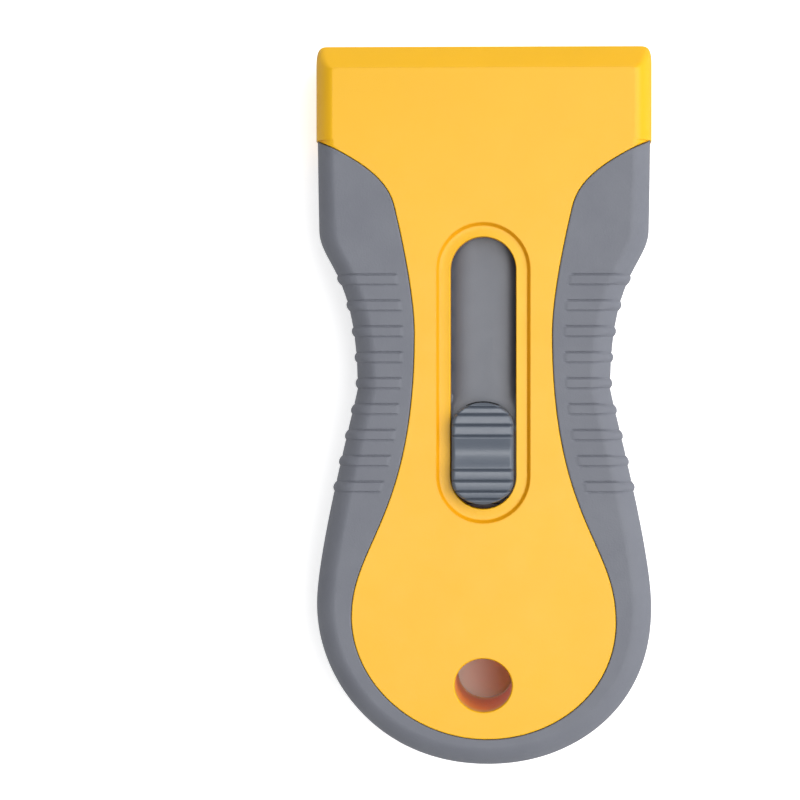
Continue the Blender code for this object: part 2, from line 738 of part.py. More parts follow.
def blade_spine(mat, parent):
    """The folded steel back: a channel along the blade's rear, open towards the edge."""
    rear, front, half = BLADE_EDGE_Y - BLADE_L, BLADE_EDGE_Y - BLADE_L + SPINE_L, BLADE_W / 2
    right = [(half, front)]
    for i in range(4):
        a = -math.pi / 6 * i
        right.append((half - 1.6 + 1.6 * math.cos(a), rear + 1.6 + 1.6 * math.sin(a)))
    bm = bmesh.new()
    prism(bm, right + [(-x, y) for x, y in reversed(right)], BLADE_Z - SPINE_T / 2, BLADE_Z + SPINE_T / 2)
    o = finish("blade_spine", bm, mat, parent)
    gap = BLADE_T / 2 + 0.15
    cut_y = (rear + 0.35, front + 1)
    return modify(o, lambda bm: box(bm, (-half - 1, half + 1), cut_y, (BLADE_Z - gap, BLADE_Z + gap)))


def build():
    for o in list(bpy.data.objects):
        bpy.data.objects.remove(o, do_unlink=True)
    yellow = material("hard_yellow", YELLOW, 0.35)
    soft = material("soft_grey", GREY, 0.6)
    moulded = material("moulded_grey", GREY, 0.45)
    steel = material("steel", STEEL, 0.3, 1.0)
    zinc = material("zinc_plated", STEEL, 0.35, 1.0)
    edge = material("blade_steel", STEEL, 0.25, 1.0)

    front_shell(yellow)
    back_shell(yellow)
    grip("front_grip", False, soft)
    grip("back_grip", True, soft)
    lock_strip(steel)
    for place, (x, y) in zip(("neck", "tail"), BOSSES):
        for side, sign in (("right", 1), ("left", -1)):
            size = (SCREW_TIP_Z, SCREW_HEAD_R, SCREW_HEAD_H, SCREW_R)
            screw(f"{place}_screw_{side}", sign * x, y, zinc, SCREW_SEAT_Z - 0.2, *size)

    slide = empty("carrier_slide", (0, BUTTON_MID_Y, BASE_Z[1]))
    press = empty("button_press", (0, BUTTON_MID_Y, LATCH_Z[0]), slide)
    change = empty("blade_change", (0, BLADE_EDGE_Y, BLADE_Z), slide)
    carrier(moulded, slide)
    blade_clamp(steel, slide)
    for side, sign in (("right", 1), ("left", -1)):
        x, y = CLAMP_SCREW
        screw(f"clamp_screw_{side}", sign * x, y, zinc, CLAMP_Z[1] + 0.15, *CLAMP_SCREW_SIZE, slide)
    drag_spring(steel, slide)
    drag_rivet(steel, slide)
    button_spring(steel, slide)
    thumb_button(moulded, press)
    button_latch(moulded, press)
    razor_blade(edge, change)
    blade_spine(edge, change)


build()
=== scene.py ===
"""Looks for the retractable blade scraper: fine casing, soft grip, button, blade and their materials."""

import json
import math

import bmesh
import bpy
import numpy as np
from mathutils import Matrix, Vector
from mathutils.geometry import interpolate_bezier

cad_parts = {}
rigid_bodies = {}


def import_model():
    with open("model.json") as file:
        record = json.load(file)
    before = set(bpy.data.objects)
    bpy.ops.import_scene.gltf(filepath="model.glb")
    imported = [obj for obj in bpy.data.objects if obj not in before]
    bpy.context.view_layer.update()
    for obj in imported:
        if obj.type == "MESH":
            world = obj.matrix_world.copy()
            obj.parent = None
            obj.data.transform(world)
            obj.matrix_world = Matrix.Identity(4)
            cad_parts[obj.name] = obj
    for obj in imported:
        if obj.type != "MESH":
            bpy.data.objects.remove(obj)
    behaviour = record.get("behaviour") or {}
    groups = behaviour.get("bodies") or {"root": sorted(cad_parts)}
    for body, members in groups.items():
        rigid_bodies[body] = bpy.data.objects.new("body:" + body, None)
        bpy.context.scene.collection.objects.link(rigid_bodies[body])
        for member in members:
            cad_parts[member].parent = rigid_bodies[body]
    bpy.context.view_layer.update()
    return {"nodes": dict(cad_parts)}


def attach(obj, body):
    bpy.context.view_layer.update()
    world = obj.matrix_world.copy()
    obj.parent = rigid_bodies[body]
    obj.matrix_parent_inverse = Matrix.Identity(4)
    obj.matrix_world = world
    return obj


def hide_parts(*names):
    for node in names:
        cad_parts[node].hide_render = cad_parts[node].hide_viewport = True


for startup_object in list(bpy.data.objects):
    bpy.data.objects.remove(startup_object, do_unlink=True)
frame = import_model()

MM = 0.001  # scene units in a millimetre

# ---- the design's sizes, in millimetres: the CAD's, with the outline brought closer to the photograph ----
HALF_LENGTH = 52.5
THICK = 14.0
PARTING_Z = 7.0
HEAD_HALF = 24.5
SHOULDER_HALF = 24.1
CORNER_X = 1.9
CORNER_Y = 3.6
CORNER_POWER = 0.55  # below 1 the corner is squarer than a round
BULB_Y = -29.1
BULB_HALF = 24.5
BULB_DEPTH = HALF_LENGTH + BULB_Y
BULB_POWER = 0.96  # the tail is a touch fuller than an ellipse
TAIL_LEAN = 0.5  # and leans a little to the right,
LEAN_FROM, LEAN_TO = 27.5, 47.5  # fading in between these distances below the middle
WAIST_HALF = 18.5
WAIST_Y = 2.5
SHOULDER_Y = 25.8
GRIP_END_Y = 38.6
SOFT = 1.3
EDGE_W = 3.0
EDGE_H = 3.2
HEAD_EDGE_W = 2.7
EDGE_POWER = 1.65  # between a flat bevel (1) and a quarter round (2)
NOSE_Y = 3.6
NOSE_Z = {"front": 3.2, "back": 1.6}
PANEL_BULB_HALF = 19.2
PANEL_BULB_DEPTH = 17.4
PANEL_BULB_Y = -31.0
PANEL_WAIST_HALF = 10.0
PANEL_WAIST_Y = 10.6
RIDGES = 9
RIDGE_Y = 18.3
RIDGE_STEP = 3.755
RIDGE_W = 1.4
RIDGE_H = 0.3
RIDGE_FACE_H = 0.07
GROOVES = (0.2, 0.13)  # depth of the grooves above and below each bar
# where the grip's sections lie at each edge of a bar, from inside it to outside it
RIDGE_SECTIONS = (-0.44, -0.3, -0.22, -0.15, -0.09, -0.03, 0.03, 0.09, 0.15, 0.22, 0.32)
RIDGE_INSET = 1.8
SLOT_HALF = 4.75
SLOT_Y = (-14.95, 24.53)
RING_HALF = 6.9
RING_DEPTH = 0.5
RING_SLOPE = 0.6
RING_RISE = 0.1  # the recess is a little shallower beside the slot
HOLE_Y = -40.55
HOLE_R = 4.15
HOLE_SQUASH = 0.93
CEILING_Z = 11.8
TRACK_HALF = 8.0
TRACK_Y = (-18.0, 50.2)
MOUTH_HALF = 20.2
MOUTH_Z = (4.1, 9.0)
MOUTH_REAR_Y = 20.9
NECK_HALF = 13.6
NECK_Y = (13.2, 44.8)
NECK_CEILING_Z = 10.3
BOSSES = ((14.3, 8.0), (12.5, -28.5))
SCREW_HEAD_R = 2.4
SCREW_SEAT_Z = 3.2
BUTTON_X = -0.05  # it sits a little to one side of the slot
BUTTON_HALF = 4.45
BUTTON_Y = (-14.2, 0.49)
BUTTON_TOP_Z = 15.5
BUTTON_END = 3.35
BUTTON_FOOT_Z = 11.0
BUTTON_FOOT_DEPTH = 1.5  # of the hollow in its foot, which clears the spring when it is pressed
BUTTON_RIM = 0.36
SADDLE_Y, SADDLE_HALF, SADDLE_DEPTH = -6.78, 2.35, 0.58
SEAM = 0.04  # half the visible gap between panel and grip
SEAM_R = 0.13  # the small round along the seam between panel and grip
PART_Z = PARTING_Z + 0.03
CAMERA = (0.009, 0.0041, 0.3105)  # metres, as AIM
AIM = (0.003, 0.0008, 0.007)
LENS = 92.2
SHIFT_X = -0.131
FLOOR_GLOW = 0.6
GLOW_REACH = (7.0, 11.0)  # it fades in between these distances from the hanging hole


# ---- mesh helpers, in millimetres ----
SHARP = 32  # degrees between faces above which an edge is sharp


def mesh_object(name, verts, faces, body, slot, sharp=SHARP):
    """A closed mesh from points in millimetres, riding on a CAD body."""
    mesh = bpy.data.meshes.new(name)
    mesh.from_pydata([tuple(float(c) * MM for c in v) for v in verts], [], faces)
    bm = bmesh.new()
    bm.from_mesh(mesh)
    bmesh.ops.remove_doubles(bm, verts=bm.verts, dist=2e-7)
    bmesh.ops.dissolve_degenerate(bm, dist=1e-7, edges=bm.edges)
    bmesh.ops.recalc_face_normals(bm, faces=bm.faces)
    bm.to_mesh(mesh)
    bm.free()
    mesh.shade_smooth()
    mesh.set_sharp_from_angle(angle=math.radians(sharp))
    o = bpy.data.objects.new(name, mesh)
    bpy.context.scene.collection.objects.link(o)
    if body:
        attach(o, body)
    return o


def skin(loops):
    """(points, faces) of the strips between loops of equal length, capped at both ends."""
    n = len(loops[0])
    verts = [p for loop in loops for p in loop]
    faces = []
    rows = len(loops)
    for r in range(rows - 1):
        a, b = r * n, (r + 1) * n
        for i in range(n):
            j = (i + 1) % n
            faces.append((a + i, a + j, b + j, b + i))
    faces.append(tuple(range(n)))
    faces.append(tuple(range((rows - 1) * n, rows * n)))
    return verts, faces


def cut(target, verts, faces):
    """Takes a shape, given as points and faces, away from the target."""
    other = mesh_object("cutter", verts, faces, None, None)
    mod = target.modifiers.new("cut", "BOOLEAN")
    mod.object = other
    mod.operation = "DIFFERENCE"
    mod.solver = "EXACT"
    bpy.context.view_layer.update()
    graph = bpy.context.evaluated_depsgraph_get()
    mesh = bpy.data.meshes.new_from_object(target.evaluated_get(graph))
    target.modifiers.clear()
    target.data = mesh
    bpy.data.objects.remove(other)


def settle(o):
    """Smooth shading with true edges, and flat faces that stay flat beside their rounds."""
    o.data.shade_smooth()
    o.data.set_sharp_from_angle(angle=math.radians(SHARP))
    mod = o.modifiers.new("flat_faces", "WEIGHTED_NORMAL")
    mod.keep_sharp = True
    mod.weight = 100


def box_cut(target, x, y, z, back):
    """Cuts a box given by its ranges on the three axes."""
    corners = [(x[0], y[0]), (x[1], y[0]), (x[1], y[1]), (x[0], y[1])]
    cut(target, *skin([flip([(px, py, h) for px, py in corners], back) for h in z]))


def flip(points, back):
    """The points turned over to the back half, where it is asked for."""
    return [(x, y, THICK - z) if back else (x, y, z) for x, y, z in points]


def fade(value, low, high):
    """0 below low and 1 above high, with a smooth change between."""
    t = min(1.0, max(0.0, (value - low) / (high - low)))
    return t * t * (3 - 2 * t)


def arc(n, start=0.0, end=math.pi / 2):
    """n + 1 evenly spaced angles."""
    return [start + (end - start) * i / n for i in range(n + 1)]


# ---- plan curves ----
def bezier(points, n):
    """n + 1 (x, y) points on a cubic curve."""
    return [(p.x, p.y) for p in interpolate_bezier(*[Vector((x, y, 0)) for x, y in points], n + 1)]


def as_function(pts):
    """x as a function of y, through the points."""
    pts = sorted(pts, key=lambda p: p[1])
    ys, xs = [p[1] for p in pts], [p[0] for p in pts]
    return lambda y: float(np.interp(y, ys, xs))


side_half = as_function(
    bezier(((WAIST_HALF, WAIST_Y), (WAIST_HALF, WAIST_Y - 0.9), (BULB_HALF, BULB_Y + 8.2), (BULB_HALF, BULB_Y)), 160)
    + bezier(
        ((SHOULDER_HALF, SHOULDER_Y), (SHOULDER_HALF, 20.7), (WAIST_HALF, 19.8), (WAIST_HALF, WAIST_Y)), 160
    )
    + [(SHOULDER_HALF + 0.1, 31.0), (SHOULDER_HALF + 0.2, GRIP_END_Y), (HEAD_HALF, HALF_LENGTH)]
)
panel_half = as_function(
    bezier(
        (
            (PANEL_BULB_HALF, PANEL_BULB_Y),
            (PANEL_BULB_HALF, PANEL_BULB_Y + 11.2),
            (PANEL_WAIST_HALF, PANEL_WAIST_Y - 27.2),
            (PANEL_WAIST_HALF, PANEL_WAIST_Y),
        ),
        200,
    )
    + bezier(((PANEL_WAIST_HALF, PANEL_WAIST_Y), (PANEL_WAIST_HALF, 15.5), (11.6, 23.5), (12.9, 28.9)), 120)
    + bezier(((12.9, 28.9), (13.8, 32.6), (17.0, 35.2), (24.2, GRIP_END_Y)), 160)
)


def edge_width(y):
    """Width of the casing's rounded long edge, narrower along the head."""
    return EDGE_W + (HEAD_EDGE_W - EDGE_W) * fade(y, 20.0, 34.0)


def edge_z(inset, width):
    """Height of the rounded long edge at a distance in from the casing's side."""
    t = 1 - min(1.0, max(0.0, inset / width))
    return THICK - EDGE_H * (1 - (1 - t**EDGE_POWER) ** (1 / EDGE_POWER))


def tail_out(angle):
    """Outer point and inward direction on the tail's outline, at an angle below +X."""
    c, s = max(0.0, math.cos(angle)), math.sin(angle)
    x, y = BULB_HALF * c**BULB_POWER, BULB_Y - BULB_DEPTH * s**BULB_POWER
    inward = Vector((-math.cos(angle), math.sin(angle) * BULB_DEPTH / BULB_HALF)).normalized()
    return (x, y), (inward.x, inward.y)


def lean(points):
    """The points moved sideways toward the tail's end, kept inside the casing's width."""
    moved = [(x + TAIL_LEAN * fade(-y, LEAN_FROM, LEAN_TO), y, z) for x, y, z in points]
    return [(max(-BULB_HALF, min(BULB_HALF, x)), y, z) for x, y, z in moved]


def tail_panel_width(point, inward):
    """Distance from the tail's outer point to the panel's ellipse, along the inward direction."""
    a, b = PANEL_BULB_HALF, PANEL_BULB_DEPTH
    x, y = point[0], point[1] - PANEL_BULB_Y
    dx, dy = inward
    qa = (dx / a) ** 2 + (dy / b) ** 2
    qb = 2 * (x * dx / a**2 + y * dy / b**2)
    qc = (x / a) ** 2 + (y / b) ** 2 - 1
    root = qb * qb - 4 * qa * qc
    return (-qb - math.sqrt(max(root, 0.0))) / (2 * qa)


def grip_stations():
    """(point, inward, width to the panel, slant of the panel's edge) down the right side and round the tail."""
    out = []
    ys = list(np.arange(BULB_Y, GRIP_END_Y, 0.4)) + [GRIP_END_Y]
    for k in range(RIDGES):
        middle = RIDGE_Y - RIDGE_STEP * k
        ys = [y for y in ys if abs(y - middle) > RIDGE_W / 2 + 0.35]
        for side in (1, -1):
            ys += [middle + side * (RIDGE_W / 2 + d) for d in RIDGE_SECTIONS]
        ys += [middle - 0.12, middle + 0.12]
    for y in sorted(ys, reverse=True):
        half = side_half(y)
        slope = (panel_half(y + 0.05) - panel_half(y - 0.05)) / 0.1
        out.append(((half, y), (-1.0, 0.0), half - panel_half(y), math.sqrt(1 + slope * slope)))
    steps = 90
    for i in range(1, steps + 1):
        point, inward = tail_out(math.pi / 2 * i / steps)
        out.append((point, inward, tail_panel_width(point, inward), 1.0))
    return out


# ---- the hard casing ----
def panel_profile(width, slant, edge_w):
    """(inset, z) from the flat panel down its edge to the step below the soft grip, 18 points."""
    gap, r = SEAM * slant, SEAM_R * slant
    rim = width + gap + r
    start = max(rim + 0.4, edge_w + 0.02)
    pts = [(start + (rim - start) * i / 6, edge_z(start + (rim - start) * i / 6, edge_w)) for i in range(7)]
    z = pts[-1][1]
    for a in arc(5)[1:]:
        pts.append((rim - r * math.sin(a), z - SEAM_R * (1 - math.cos(a))))
    under = SOFT + 0.15
    step = max(under, min(under + 1.2, width - 0.05))
    base = edge_z(width, edge_w) - SOFT - 0.1
    pts += [(width + gap, base), (step, base - 0.01), (under, base - 1.6)]
    pts += [(under, PART_Z + 0.4), (under, PART_Z + 0.1), (under + 0.1, PART_Z)]
    return pts


def nose_curve(kind):
    """The nose's (inset, z) with small rounds at the chamfer's two edges, as a function of z."""
    drop = NOSE_Z[kind]
    zs = np.linspace(PARTING_Z, THICK, 600)
    inset = np.clip((zs - (THICK - drop)) / drop * NOSE_Y, 0, None)
    reach = 26  # samples that the small rounds are spread over
    padded = np.concatenate([np.zeros(reach), inset, inset[-1] + np.zeros(reach)])
    smooth = np.convolve(padded, np.ones(reach) / reach, mode="same")[reach:-reach]
    return lambda z: float(np.interp(z, zs, smooth))


def head_levels():
    """(height, share of the long edge's width) of the head's 18 rings, from the face to the parting face."""
    rows = [(THICK, 1.0)]
    for a in arc(11):
        u = 1 - math.sin(a) ** 1.3
        rows.append((THICK - EDGE_H * (1 - (1 - u**EDGE_POWER) ** (1 / EDGE_POWER)), 1 - u))
    rows = [rows[0]] + rows[:0:-1]
    rows += [(THICK - EDGE_H - d, 0.0) for d in (0.15, 0.35, 1.2)]
    return rows + [(PART_Z + 0.3, 0.0), (PART_Z + 0.1, 0.0), (PART_Z, 0.0)]


def head_station(spot, nose):
    """The 18 points of one head station; spot is ('front', share of x), ('corner', angle) or ('side', y)."""
    pts = []
    levels = head_levels()
    for i, (z, share) in enumerate(levels):
        inset_y = nose(z) + (0.5 if i == 0 else 0.0)
        inset_x = HEAD_EDGE_W * share + (0.5 if i == 0 else 0.0)
        if i == len(levels) - 1:
            inset_x, inset_y = 0.1, 0.1
        shrink = 1 - 0.88 * share
        rx, ry = CORNER_X * shrink, CORNER_Y * shrink
        cx, cy = HEAD_HALF - rx - inset_x, HALF_LENGTH - ry - inset_y
        if spot[0] == "front":
            x, y = cx * spot[1], cy + ry
        elif spot[0] == "corner":
            c, s = max(0.0, math.cos(spot[1])), max(0.0, math.sin(spot[1]))
            x, y = cx + rx * c**CORNER_POWER, cy + ry * s**CORNER_POWER
        else:
            x = HEAD_HALF - inset_x
            y = GRIP_END_Y + spot[1] * (cy - GRIP_END_Y)
        pts.append((x, y, z))
    return pts


def casing(kind, stations):
    """A hard shell's outer form: head, stepped sides below the grip, and the flat panel."""
    nose = nose_curve(kind)
    right = [head_station(("front", i / 6), nose) for i in range(6)]
    right += [head_station(("corner", a), nose) for a in arc(14, math.pi / 2, 0)]
    right += [head_station(("side", 1 - i / 9), nose) for i in range(1, 10)]
    for (x, y), (dx, dy), width, slant in stations:
        profile = panel_profile(width, slant, edge_width(y))
        right.append([(x + dx * d, y + dy * d, z) for d, z in profile])
    right[-1] = [(0.0, y, z) for _, y, z in right[-1]]
    left = [[(-x, y, z) for x, y, z in col] for col in reversed(right[1:-1])]
    columns = [flip(lean(col), kind == "back") for col in right + left]
    return skin([list(ring) for ring in zip(*columns)])


def obround(half, y, grow, n=28):
    """A slot's outline with round ends, moved out by grow."""
    half, low, high = half + grow, y[0] + half, y[1] - half
    pts = []
    for end, sign in ((high, 1), (low, -1)):
        for a in arc(n, 0, math.pi):
            pts.append((sign * half * math.cos(a), end + sign * half * math.sin(a)))
    return pts


def circle(x, y, r, n):
    return [(x + r * math.cos(2 * math.pi * i / n), y + r * math.sin(2 * math.pi * i / n)) for i in range(n)]


def well(target, plan, face_z, floor_z, top_r, floor_r, back=False):
    """Cuts a well with rounded rims; plan(grow) gives its outline moved out by grow."""
    levels = [(top_r * 1.3, face_z + 0.6), (top_r * 1.3, face_z + top_r * 0.3)]
    for a in arc(6, math.radians(25), math.pi / 2):
        levels.append((top_r * (1 - math.sin(a)), face_z - top_r * (1 - math.cos(a))))
    if floor_r:
        for a in arc(5, 0, math.pi / 2):
            levels.append((-floor_r * (1 - math.cos(a)), floor_z + floor_r * (1 - math.sin(a))))
    else:
        levels.append((0.0, floor_z))
    cut(target, *skin([flip([(x, y, z) for x, y in plan(grow)], back) for grow, z in levels]))


def hole_plan(grow):
    """The hanging hole, a little wider than it is high."""
    return [(x, HOLE_Y + (y - HOLE_Y) * HOLE_SQUASH) for x, y in circle(0, HOLE_Y, HOLE_R + grow, 96)]


def hollow(o, back):
    """The blade chamber, the room for the clamp and the carrier's track."""
    start = PARTING_Z - 1.5
    deep = THICK - MOUTH_Z[0] if back else MOUTH_Z[1]
    neck = deep if back else NECK_CEILING_Z
    box_cut(o, (-MOUTH_HALF, MOUTH_HALF), (MOUTH_REAR_Y, HALF_LENGTH + 3), (start, deep), back)
    box_cut(o, (-NECK_HALF, NECK_HALF), NECK_Y, (start - 0.2, neck + 0.001), back)
    box_cut(o, (-TRACK_HALF, TRACK_HALF), TRACK_Y, (start - 0.4, CEILING_Z), back)


def ring_recess(target):
    """The shallow recess round the slot, with a sloped wall rounded above and below."""
    grow = RING_HALF - SLOT_HALF
    y = (SLOT_Y[0] - grow, SLOT_Y[1] + grow)
    levels = [(0.05, THICK + 0.5), (0.05, THICK + 0.02)]
    for i in range(13):
        t = i / 12
        levels.append((-RING_SLOPE * t, THICK - RING_DEPTH * fade(t, 0, 1)))
    levels += [(-RING_SLOPE - 0.5 * d, THICK - RING_DEPTH + RING_RISE * (d / 3) ** 2) for d in (1, 2, 3)]
    cut(target, *skin([[(px, py, z) for px, py in obround(RING_HALF, y, g, 40)] for g, z in levels]))


def front_casing(stations):
    o = mesh_object("front_casing", *casing("front", stations), "handle", "hard_yellow")
    floor = THICK - RING_DEPTH + RING_RISE
    well(o, hole_plan, THICK, PARTING_Z - 2, 0.3, 0)
    ring_recess(o)
    well(o, lambda g: obround(SLOT_HALF, SLOT_Y, g), floor, CEILING_Z - 1, 0.18, 0)
    hollow(o, False)
    settle(o)
    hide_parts("front_shell")
    return o


def back_casing(stations):
    o = mesh_object("back_casing", *casing("back", stations), "handle", "hard_yellow")
    well(o, hole_plan, THICK, PARTING_Z - 2, 0.3, 0, True)
    seat = THICK - SCREW_SEAT_Z
    for side in (1, -1):
        for x, y in BOSSES:
            well(o, lambda g: circle(side * x, y, SCREW_HEAD_R + 0.3 + g, 40), THICK, seat, 0.3, 0.15, True)
    hollow(o, True)
    settle(o)
    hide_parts("back_shell")
    return o


# ---- the soft grip ----
def ridge_height(y, inset, width_left):
    """Height of the bars: low bands between two fine grooves on the face, full bumps on the side."""
    k = round((RIDGE_Y - y) / RIDGE_STEP)
    if not 0 <= k < RIDGES:
        return 0.0
    across = y - (RIDGE_Y - RIDGE_STEP * k)
    d = RIDGE_W / 2 - abs(across)
    inner = fade(width_left, RIDGE_INSET - 0.25, RIDGE_INSET + 0.25)
    on_face = fade(inset, 0.8, 2.8)
    t = min(1.0, max(0.0, d / (0.2 + 0.5 * (1 - on_face))))
    band = (1 - (1 - t) ** 2) * (RIDGE_H * (1 - on_face) + RIDGE_FACE_H * on_face)
    depth = GROOVES[0] if across > 0 else GROOVES[1]
    return inner * (band - depth * (0.25 + 0.75 * on_face) * math.exp(-(((d + 0.06) / 0.1) ** 2)))


def grip_section(station, back):
    """The soft band's section: out along the face, over the rim, and back along the hard shell."""
    (x, y), (dx, dy), width, slant = station
    edge_w = edge_width(y)
    gap, r = SEAM * slant, SEAM_R * 1.3 * slant
    end = max(width - gap - r, 0.12)
    turn = min(edge_w, 0.75 * end)
    insets = [turn * (i / 18) ** 1.6 for i in range(19)]
    insets += [turn + (end - turn) * i / 34 for i in range(1, 35)]
    pts = []
    for z in (PART_Z, PART_Z + 0.05, PART_Z + 0.12, 8.0, 9.0, 10.0):
        inset = {PART_Z: 0.12, PART_Z + 0.05: 0.03}.get(z, 0.0)
        bump = ridge_height(y, 0.0, width) * min(1.0, (z - PART_Z) / 0.8)
        pts.append((inset - bump, z))
    for inset in insets:
        slope = (edge_z(inset + 0.02, edge_w) - edge_z(inset - 0.02, edge_w)) / 0.04 if inset > 0.03 else 4.0
        bump = ridge_height(y, inset, width - inset)
        normal = Vector((-slope, 1.0)).normalized()
        lift = normal.y * bump
        if back and inset > edge_w * 0.7:
            lift = min(lift, 0.0)
        z = edge_z(inset, edge_w) + lift
        pts.append((inset + normal.x * bump, min(z, THICK) if back else z))
    z = pts[-1][1]
    for a in arc(5)[1:]:
        pts.append((end + r * math.sin(a), z - SEAM_R * 1.3 * (1 - math.cos(a))))
    base = edge_z(width, edge_w) - SOFT
    step = max(SOFT, min(SOFT + 1.2, width - gap - 0.1))
    pts += [(width - gap, base), (step, base), (SOFT, base - 1.6), (SOFT, PART_Z)]
    return flip([(x + dx * d, y + dy * d, z) for d, z in pts], back)


def grip_band(name, stations, back):
    right = [grip_section(station, back) for station in stations]
    right[0] = [(x, y - 0.03, z) for x, y, z in right[0]]
    left = [[(-x, y, z) for x, y, z in loop] for loop in reversed(right[:-1])]
    right[-1] = [(0.0, y, z) for x, y, z in right[-1]]
    loops = [lean(loop) for loop in right + left]
    o = mesh_object(name, *skin(loops), "handle", "soft_grey", 50)
    if back:
        x, y = BOSSES[0]
        for side in (1, -1):
            plan = lambda g: circle(side * x, y, SCREW_HEAD_R + 0.6 + g, 40)
            well(o, plan, THICK, THICK - SOFT - 2, 0.35, 0, True)
    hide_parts("back_grip" if back else "front_grip")
    return o


# ---- the thumb button ----
RIB_LINES = (-0.12, -1.23, -2.75, -4.33, -9.23, -10.81, -12.33, -13.44)


def button_surface(y):
    """Height of the button's upper surface at y: ribs like shallow steps, and a smooth saddle."""
    z = BUTTON_TOP_Z
    t = (y - SADDLE_Y) / SADDLE_HALF
    if abs(t) < 1:
        z -= SADDLE_DEPTH * (1 - t * t) ** 1.5
    for line in RIB_LINES:
        d = y - line
        z -= 0.3 * math.exp(-((d / 0.13) ** 2))
        if 0 < d < 1.0:
            z -= 0.1 * (1 - d) ** 2
    return z - 0.006 * (y + 6.85) ** 2  # slightly crowned from end to end


def thumb_button():
    """The ribbed button, with a soft rim all round and a hollow foot."""
    n = 36
    ys = [BUTTON_Y[1] - (BUTTON_Y[1] - BUTTON_Y[0]) * (1 - math.cos(a)) / 2 for a in arc(300, 0, math.pi)][1:-1]
    loops = []
    for y in ys:
        near = min(BUTTON_Y[1] - y, y - BUTTON_Y[0])
        t = max(0.0, 1 - near / BUTTON_END)
        half = BUTTON_HALF * math.sqrt(1 - t * t)
        roof = BUTTON_FOOT_Z + BUTTON_FOOT_DEPTH * fade(near, 1.0, 1.4)
        wall = half - min(1.0, 0.4 * half)
        foot = [(-wall, roof), (wall, roof), (wall, BUTTON_FOOT_Z), (half, BUTTON_FOOT_Z), (half, 12.5)]
        loop = [(x + BUTTON_X, y, z) for x, z in foot]
        for i in range(n + 1):
            x = half * math.cos(math.pi * i / n)
            inside = min(half - abs(x), near * 0.8)
            drop = max(0.0, BUTTON_RIM - inside)
            loop.append((x + BUTTON_X, y, button_surface(y) - 0.9 * drop))
        loop += [(BUTTON_X - x, y, z) for x, z in reversed(foot[2:])]
        loops.append(loop)
    o = mesh_object("button_cap", *skin(loops), "button", "moulded_grey", 60)
    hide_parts("thumb_button")
    return o


def slide_face():
    """The carrier's crowned face in the slot, hollowed round the button's end."""
    half, high, low, rear = 4.95, 10.95, 10.77, 25.5
    xs = [half * math.sin(a) for a in arc(36, -math.pi / 2, math.pi / 2)]
    loops = []
    for row in range(14):
        t = (row / 13) ** 2
        loop = []
        for x in xs:
            u = min(1.0, abs(x - BUTTON_X) / (BUTTON_HALF + 0.02))
            start = BUTTON_Y[1] + 0.16 - BUTTON_END * (1 - math.sqrt(1 - u * u))
            y = start + (rear - start) * t
            loop.append((x, y, high - (0.12 + 0.5 * fade(y, 0.4, 2.4)) * (abs(x) / half) ** 4))
        ends = [(x, y, low - 1.2 * fade(y, 1.6, 2.4)) for x, y, z in reversed(loop)]
        loops.append(loop + ends)
    verts, faces = skin(loops)
    n = len(loops[0])
    faces[-2:-1] = [(i, i + 1, n - 2 - i, n - 1 - i) for i in range(n // 2 - 1)]  # the curved end, in strips
    return mesh_object("slide_face", verts, faces, "carrier", "moulded_grey", 40)


